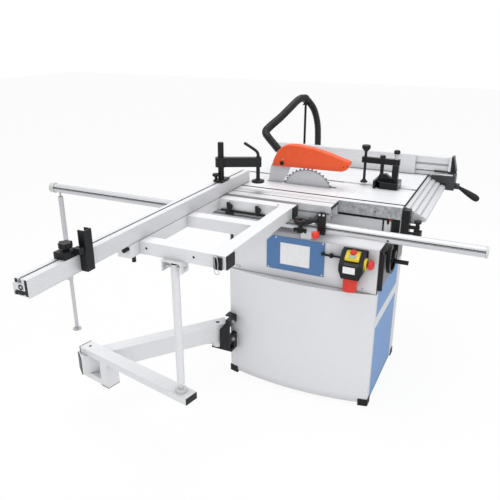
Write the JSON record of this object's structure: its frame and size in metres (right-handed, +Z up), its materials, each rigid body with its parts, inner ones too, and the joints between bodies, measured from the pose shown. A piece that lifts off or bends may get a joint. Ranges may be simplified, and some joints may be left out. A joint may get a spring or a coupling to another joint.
{
  "type": "panel saw",
  "caption": "Panel saw with a bowed cabinet, tilting blade under a guard with a suction hose, sliding carriage, outrigger on a swing arm, crosscut fence, rip fence and mitre gauge.",
  "frame": {"origin": "on the floor under the middle of the base cabinet", "axes": "+Z up, +Y to the rear along the cut, -X towards the sliding carriage"},
  "size_m": [2.0001, 1.992, 1.1852],
  "materials": {
    "grey_paint": "satin",
    "blue_paint": "satin",
    "dark_plate": "satin",
    "black_paint": "satin",
    "cover_blue": "satin",
    "iron": "ground",
    "casting": "rough",
    "alu": "satin",
    "steel": "brushed",
    "white_tube": "gloss",
    "black_plastic": "matt",
    "white_plastic": "matt",
    "red_plastic": "gloss",
    "yellow_plastic": "gloss",
    "orange_plastic": "satin",
    "hose_black": "satin",
    "belt_rubber": "matt",
    "motor_alu": "painted"
  },
  "bodies": {
    "frame": {"cabinet_shell": "grey_paint", "cabinet_front": "blue_paint", "base_feet": "black_paint", "housing_shell": "grey_paint", "housing_front": "dark_plate", "cover_plate": "cover_blue", "main_table": "iron", "side_strip": "alu", "table_insert": "casting", "trunnion_ways": "casting", "front_rail": "alu", "corner_bracket": "black_paint", "guide_rail": "alu", "rail_caps": "white_plastic", "rail_brackets": "alu", "rail_leg": "white_tube", "switch_box": "black_plastic", "power_inlet": "red_plastic", "switch_cable": "black_plastic", "arm_hinge_bracket": "black_paint", "hose_rod": "black_paint", "suction_hose": "hose_black", "dust_port": "black_plastic"},
    "tilt_unit": {"trunnion": "casting", "riving_knife": "steel", "blade_guard": "orange_plastic"},
    "lift": {"arbor_block": "casting", "motor": "motor_alu", "drive_belt": "belt_rubber"},
    "blade": {"saw_blade": "steel", "arbor": "steel"},
    "motor_rotor": {"motor_pulley": "alu"},
    "wheel": {"handwheel": "black_plastic"},
    "grip": {"crank_grip": "black_plastic"},
    "carriage_unit": {"carriage": "alu", "carriage_shoes": "black_plastic", "stop_bracket": "black_paint", "outrigger_rails": "white_tube", "outrigger_crossbars": "white_tube", "tube_caps": "black_plastic", "outrigger_clamps": "black_plastic"},
    "lock": {"lock_knob": "red_plastic"},
    "strut_leg": {"strut": "white_tube"},
    "inner_swing": {"inner_arm": "white_tube"},
    "outer_swing": {"outer_arm": "white_tube"},
    "crosscut": {"crosscut_fence": "alu", "hold_down_post": "steel"},
    "stop": {"flip_stop_block": "black_plastic"},
    "stop_flap": {"flip_stop_flap": "black_paint"},
    "hold_arm": {"hold_down_arm": "casting"},
    "hold_screw": {"hold_down_screw": "steel"},
    "rip": {"rip_fence_profile": "alu", "rip_fence_head": "casting"},
    "rip_lever": {"rip_fence_lever": "black_plastic"},
    "mitre": {"mitre_bar": "steel"},
    "mitre_swing": {"mitre_head": "casting"},
    "mitre_clamp": {"mitre_screw": "black_paint"},
    "flap": {"switch_flap": "yellow_plastic"},
    "stop_button": {"emergency_button": "red_plastic"},
    "tilt_lock": {"tilt_lock_knob": "black_plastic"}
  },
  "joints": [
    {"name": "blade_tilt", "type": "hinge", "parent": "frame", "child": "tilt_unit", "pos_m": [0.06, 0.087, 0.85], "axis": [0, -1, 0], "range_deg": [0, 45], "deforming": ["suction_hose"]},
    {"name": "blade_raise", "type": "slide", "parent": "tilt_unit", "child": "lift", "axis": [0, 0, 1], "range_m": [-0.06, 0.002]},
    {"name": "blade_spin", "type": "hinge", "parent": "lift", "child": "blade", "pos_m": [0.06, 0.087, 0.803], "axis": [1, 0, 0], "continuous": true},
    {"name": "motor_spin", "type": "hinge", "parent": "lift", "child": "motor_rotor", "pos_m": [-0.04, 0.177, 0.635], "axis": [1, 0, 0], "continuous": true},
    {"name": "handwheel_turn", "type": "hinge", "parent": "tilt_unit", "child": "wheel", "pos_m": [-0.105, -0.353, 0.655], "axis": [0, -1, 0], "range_deg": [-1360, 60]},
    {"name": "grip_spin", "type": "hinge", "parent": "wheel", "child": "grip", "pos_m": [-0.06351, -0.373, 0.60893], "axis": [0, 1, 0], "continuous": true},
    {"name": "carriage_slide", "type": "slide", "parent": "frame", "child": "carriage_unit", "axis": [0, 1, 0], "range_m": [-0.3, 0.35]},
    {"name": "lock_pull", "type": "slide", "parent": "carriage_unit", "child": "lock", "axis": [-1, 0, 0], "range_m": [0, 0.012], "stiffness_N_per_m": 400},
    {"name": "strut_fold", "type": "hinge", "parent": "carriage_unit", "child": "strut_leg", "pos_m": [-0.83, 0.218, 0.775], "axis": [0, -1, 0], "range_deg": [0, 85]},
    {"name": "swing_inner", "type": "hinge", "parent": "frame", "child": "inner_swing", "pos_m": [-0.282, 0.369, 0.263], "axis": [0, 0, 1], "range_deg": [-36, 31]},
    {"name": "swing_outer", "type": "hinge", "parent": "inner_swing", "child": "outer_swing", "pos_m": [-0.729, 0.718, 0.263], "axis": [0, 0, 1], "range_deg": [-9, 10]},
    {"name": "fence_swivel", "type": "hinge", "parent": "carriage_unit", "child": "crosscut", "pos_m": [-0.256, 0.375, 0.85], "axis": [0, 0, 1], "range_deg": [0, 45]},
    {"name": "stop_slide", "type": "slide", "parent": "crosscut", "child": "stop", "axis": [1, 0, 0], "range_m": [-0.06, 0.7]},
    {"name": "stop_flip", "type": "hinge", "parent": "stop", "child": "stop_flap", "pos_m": [-1.102, 0.335, 0.92], "axis": [-1, 0, 0], "range_deg": [0, 90]},
    {"name": "hold_swing", "type": "hinge", "parent": "crosscut", "child": "hold_arm", "pos_m": [-0.212, 0.375, 0.98], "axis": [0, 0, 1], "range_deg": [-40, 38]},
    {"name": "hold_press", "type": "slide", "parent": "hold_arm", "child": "hold_screw", "axis": [0, 0, 1], "range_m": [-0.006, 0.03]},
    {"name": "rip_slide", "type": "slide", "parent": "frame", "child": "rip", "axis": [1, 0, 0], "range_m": [-0.16, 0.012]},
    {"name": "rip_lock", "type": "hinge", "parent": "rip", "child": "rip_lever", "pos_m": [0.518, -0.501, 0.802], "axis": [-1, 0, 0], "range_deg": [0, 60]},
    {"name": "mitre_slide", "type": "slide", "parent": "frame", "child": "mitre", "axis": [0, 1, 0], "range_m": [0, 0.38]},
    {"name": "mitre_swivel", "type": "hinge", "parent": "mitre", "child": "mitre_swing", "pos_m": [0.183, -0.253, 0.85], "axis": [0, 0, -1], "range_deg": [-45, 45]},
    {"name": "mitre_press", "type": "slide", "parent": "mitre_swing", "child": "mitre_clamp", "axis": [0, 0, 1], "range_m": [-0.008, 0.03]},
    {"name": "flap_open", "type": "hinge", "parent": "frame", "child": "flap", "pos_m": [-0.26408, -0.23, 0.70002], "axis": [0, 1, 0], "range_deg": [0, 80]},
    {"name": "stop_press", "type": "slide", "parent": "frame", "child": "stop_button", "axis": [0, 1, 0], "range_m": [0, 0.006], "stiffness_N_per_m": 500},
    {"name": "tilt_lock_turn", "type": "hinge", "parent": "frame", "child": "tilt_lock", "pos_m": [-0.085, -0.413, 0.746], "axis": [0, 1, 0], "range_deg": [0, 120]}
  ],
  "couplings": [
    {"joint": "motor_spin", "follows": "blade_spin", "ratio": 0.6667},
    {"joint": "handwheel_turn", "follows": "blade_raise", "rad_per_m": 392.7},
    {"joint": "swing_inner", "follows": "carriage_slide", "rad_per_m": -1.725},
    {"joint": "swing_outer", "follows": "carriage_slide", "rad_per_m": 0.417}
  ]
}
